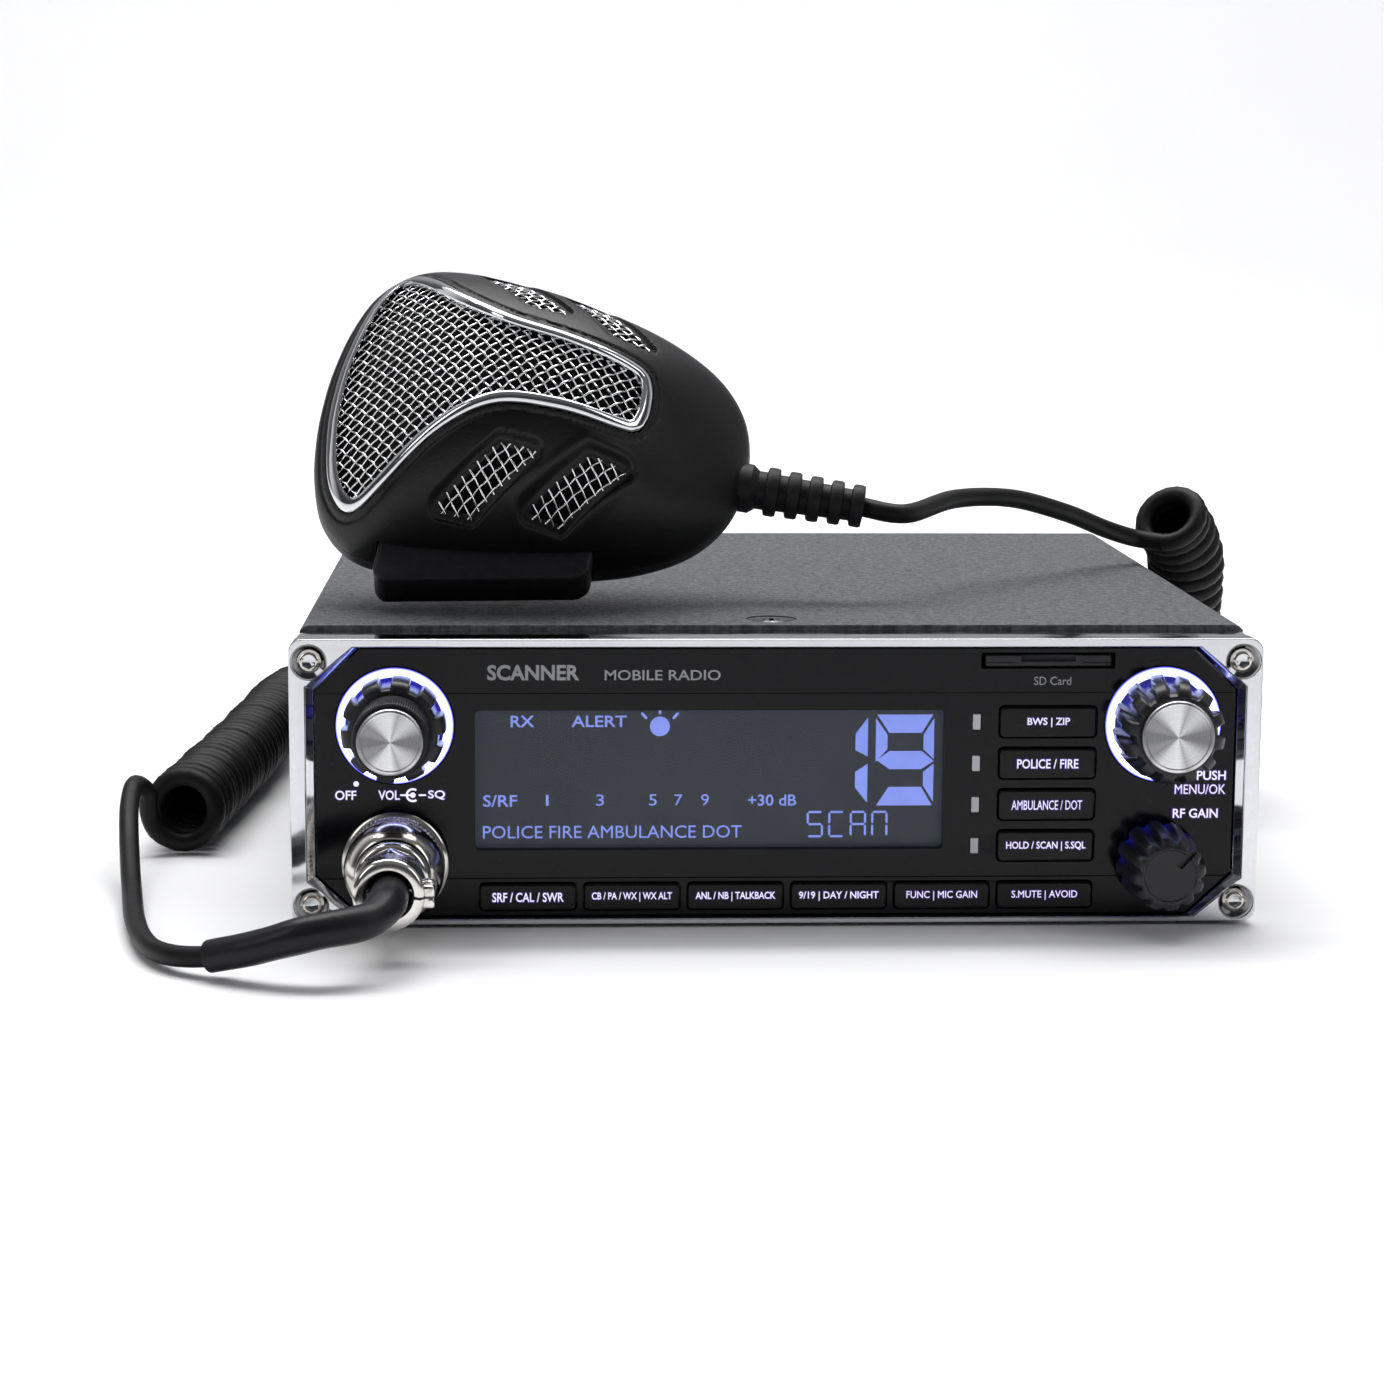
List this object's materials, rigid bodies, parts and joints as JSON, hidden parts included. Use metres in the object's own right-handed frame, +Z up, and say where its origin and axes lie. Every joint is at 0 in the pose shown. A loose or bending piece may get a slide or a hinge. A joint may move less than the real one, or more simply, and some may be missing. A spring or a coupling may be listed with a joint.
{
  "type": "police scanner radio",
  "caption": "Mobile scanner radio with chrome-framed front, lit display, knobs and keys, and a hand microphone on a curly cord.",
  "frame": {"origin": "middle of the case's flat underside, which rests on the ground plane", "axes": "+X to the right as seen from the front, +Y from the front panel to the back, +Z up"},
  "size_m": [0.2472, 0.3025, 0.1219],
  "materials": {
    "chassis": "plated sheet",
    "top_cover": "fine sparkle paint",
    "bottom_cover": "fine sparkle paint",
    "heat_sink": "black anodised die casting",
    "cover_screw": "dark plated",
    "front_bezel": "bright chrome",
    "bezel_screw_lower_left": "plated",
    "bezel_screw_lower_right": "plated",
    "bezel_screw_upper_left": "plated",
    "bezel_screw_upper_right": "plated",
    "front_panel": "gloss black",
    "display_window": "clear",
    "display_module": "dark slate with pale blue segments",
    "indicator_lamps": "milky clear",
    "knob_light_guide": "lit blue-white",
    "front_board": "board",
    "keypad_mat": "moulded",
    "main_board": "board with components",
    "speaker": "black",
    "dual_pot": "plated",
    "encoder": "plated",
    "rf_gain_pot": "plated",
    "mic_socket": "nickel plate",
    "antenna_socket": "nickel plate",
    "scanner_antenna_socket": "nickel plate",
    "rear_jacks": "moulded",
    "plug_shell": "nickel plate",
    "cord_sleeve": "shrink sleeve",
    "cord_plug_lead": "smooth jacket",
    "cord_coil": "smooth jacket",
    "cord_mic_lead": "smooth jacket",
    "volume_knob": "satin black, knurled",
    "volume_knob_cap": "spun face",
    "volume_shaft": "turned",
    "squelch_ring": "satin black",
    "encoder_plunger": "white",
    "channel_knob": "satin black",
    "channel_knob_cap": "spun face",
    "encoder_shaft": "turned",
    "rf_gain_knob": "satin black",
    "sd_card": "black",
    "mic_front_shell": "fine-textured black",
    "mic_back_shell": "fine-textured black",
    "mic_grille_trim": "bright chrome",
    "mic_mesh": "woven wire",
    "mic_insert": "board and capsule",
    "mic_hanger_stud": "turned",
    "mic_strain_relief": "moulded",
    "ptt_button": "satin black",
    "coupling_ring": "nickel plate, knurled",
    "key_srf_cal_swr": "gloss black with white lettering",
    "key_band_weather": "gloss black with white lettering",
    "key_noise_talkback": "gloss black with white lettering",
    "key_channel_day_night": "gloss black with white lettering",
    "key_function_gain": "gloss black with white lettering",
    "key_mute_avoid": "gloss black with white lettering",
    "key_search_zip": "gloss black with white lettering",
    "key_police_fire": "gloss black with white lettering",
    "key_ambulance_dot": "gloss black with white lettering",
    "key_hold_scan": "gloss black with white lettering"
  },
  "bodies": {
    "radio": {"chassis": "chassis", "top_cover": "top_cover", "bottom_cover": "bottom_cover", "heat_sink": "heat_sink", "cover_screw": "cover_screw", "front_bezel": "front_bezel", "bezel_screw_lower_left": "bezel_screw_lower_left", "bezel_screw_lower_right": "bezel_screw_lower_right", "bezel_screw_upper_left": "bezel_screw_upper_left", "bezel_screw_upper_right": "bezel_screw_upper_right", "front_panel": "front_panel", "display_window": "display_window", "display_module": "display_module", "indicator_lamps": "indicator_lamps", "knob_light_guide": "knob_light_guide", "front_board": "front_board", "keypad_mat": "keypad_mat", "main_board": "main_board", "speaker": "speaker", "dual_pot": "dual_pot", "encoder": "encoder", "rf_gain_pot": "rf_gain_pot", "mic_socket": "mic_socket", "antenna_socket": "antenna_socket", "scanner_antenna_socket": "scanner_antenna_socket", "rear_jacks": "rear_jacks", "plug_shell": "plug_shell", "cord_sleeve": "cord_sleeve", "cord_plug_lead": "cord_plug_lead", "cord_coil": "cord_coil", "cord_mic_lead": "cord_mic_lead"},
    "volume": {"volume_knob": "volume_knob", "volume_knob_cap": "volume_knob_cap", "volume_shaft": "volume_shaft"},
    "squelch": {"squelch_ring": "squelch_ring"},
    "channel_push": {"encoder_plunger": "encoder_plunger"},
    "channel": {"channel_knob": "channel_knob", "channel_knob_cap": "channel_knob_cap", "encoder_shaft": "encoder_shaft"},
    "rf_gain": {"rf_gain_knob": "rf_gain_knob"},
    "card": {"sd_card": "sd_card"},
    "mic": {"mic_front_shell": "mic_front_shell", "mic_back_shell": "mic_back_shell", "mic_grille_trim": "mic_grille_trim", "mic_mesh": "mic_mesh", "mic_insert": "mic_insert", "mic_hanger_stud": "mic_hanger_stud", "mic_strain_relief": "mic_strain_relief"},
    "ptt": {"ptt_button": "ptt_button"},
    "coupling": {"coupling_ring": "coupling_ring"},
    "key_srf_cal_swr": {"key_srf_cal_swr": "key_srf_cal_swr"},
    "key_band_weather": {"key_band_weather": "key_band_weather"},
    "key_noise_talkback": {"key_noise_talkback": "key_noise_talkback"},
    "key_channel_day_night": {"key_channel_day_night": "key_channel_day_night"},
    "key_function_gain": {"key_function_gain": "key_function_gain"},
    "key_mute_avoid": {"key_mute_avoid": "key_mute_avoid"},
    "key_search_zip": {"key_search_zip": "key_search_zip"},
    "key_police_fire": {"key_police_fire": "key_police_fire"},
    "key_ambulance_dot": {"key_ambulance_dot": "key_ambulance_dot"},
    "key_hold_scan": {"key_hold_scan": "key_hold_scan"}
  },
  "joints": [
    {"name": "volume_turn", "type": "hinge", "parent": "radio", "child": "volume", "pos_m": [-0.0727, -0.0953, 0.0389], "axis": [0, -1, 0], "range_deg": [-150, 150]},
    {"name": "squelch_turn", "type": "hinge", "parent": "radio", "child": "squelch", "pos_m": [-0.0727, -0.0953, 0.0389], "axis": [0, -1, 0], "range_deg": [-135, 135]},
    {"name": "channel_push", "type": "slide", "parent": "radio", "child": "channel_push", "axis": [0, 1, 0], "range_m": [0, 0.0005], "stiffness_N_per_m": 800, "springref_m": -0.0015},
    {"name": "channel_turn", "type": "hinge", "parent": "channel_push", "child": "channel", "pos_m": [0.0738, -0.0953, 0.0389], "axis": [0, -1, 0], "continuous": true},
    {"name": "rf_gain_turn", "type": "hinge", "parent": "radio", "child": "rf_gain", "pos_m": [0.0733, -0.0953, 0.0123], "axis": [0, -1, 0], "range_deg": [-150, 150]},
    {"name": "card_slide", "type": "slide", "parent": "radio", "child": "card", "axis": [0, -1, 0], "range_m": [-0.0008, 0.026]},
    {"name": "mic_lift", "type": "slide", "parent": "radio", "child": "mic", "axis": [0, 0, 1], "range_m": [0, 0.05]},
    {"name": "ptt_press", "type": "slide", "parent": "mic", "child": "ptt", "axis": [0.1822, 0.5779, 0.7955], "range_m": [0, 0.002], "stiffness_N_per_m": 600, "springref_m": -0.003},
    {"name": "coupling_ring_turn", "type": "hinge", "parent": "radio", "child": "coupling", "pos_m": [-0.0727, -0.0953, 0.0126], "axis": [0, -1, 0], "continuous": true},
    {"name": "key_srf_cal_swr_press", "type": "slide", "parent": "radio", "child": "key_srf_cal_swr", "axis": [0, 1, 0], "range_m": [0, 0.0006], "stiffness_N_per_m": 500, "springref_m": -0.001},
    {"name": "key_band_weather_press", "type": "slide", "parent": "radio", "child": "key_band_weather", "axis": [0, 1, 0], "range_m": [0, 0.0006], "stiffness_N_per_m": 500, "springref_m": -0.001},
    {"name": "key_noise_talkback_press", "type": "slide", "parent": "radio", "child": "key_noise_talkback", "axis": [0, 1, 0], "range_m": [0, 0.0006], "stiffness_N_per_m": 500, "springref_m": -0.001},
    {"name": "key_channel_day_night_press", "type": "slide", "parent": "radio", "child": "key_channel_day_night", "axis": [0, 1, 0], "range_m": [0, 0.0006], "stiffness_N_per_m": 500, "springref_m": -0.001},
    {"name": "key_function_gain_press", "type": "slide", "parent": "radio", "child": "key_function_gain", "axis": [0, 1, 0], "range_m": [0, 0.0006], "stiffness_N_per_m": 500, "springref_m": -0.001},
    {"name": "key_mute_avoid_press", "type": "slide", "parent": "radio", "child": "key_mute_avoid", "axis": [0, 1, 0], "range_m": [0, 0.0006], "stiffness_N_per_m": 500, "springref_m": -0.001},
    {"name": "key_search_zip_press", "type": "slide", "parent": "radio", "child": "key_search_zip", "axis": [0, 1, 0], "range_m": [0, 0.0006], "stiffness_N_per_m": 500, "springref_m": -0.001},
    {"name": "key_police_fire_press", "type": "slide", "parent": "radio", "child": "key_police_fire", "axis": [0, 1, 0], "range_m": [0, 0.0006], "stiffness_N_per_m": 500, "springref_m": -0.001},
    {"name": "key_ambulance_dot_press", "type": "slide", "parent": "radio", "child": "key_ambulance_dot", "axis": [0, 1, 0], "range_m": [0, 0.0006], "stiffness_N_per_m": 500, "springref_m": -0.001},
    {"name": "key_hold_scan_press", "type": "slide", "parent": "radio", "child": "key_hold_scan", "axis": [0, 1, 0], "range_m": [0, 0.0006], "stiffness_N_per_m": 500, "springref_m": -0.001}
  ]
}
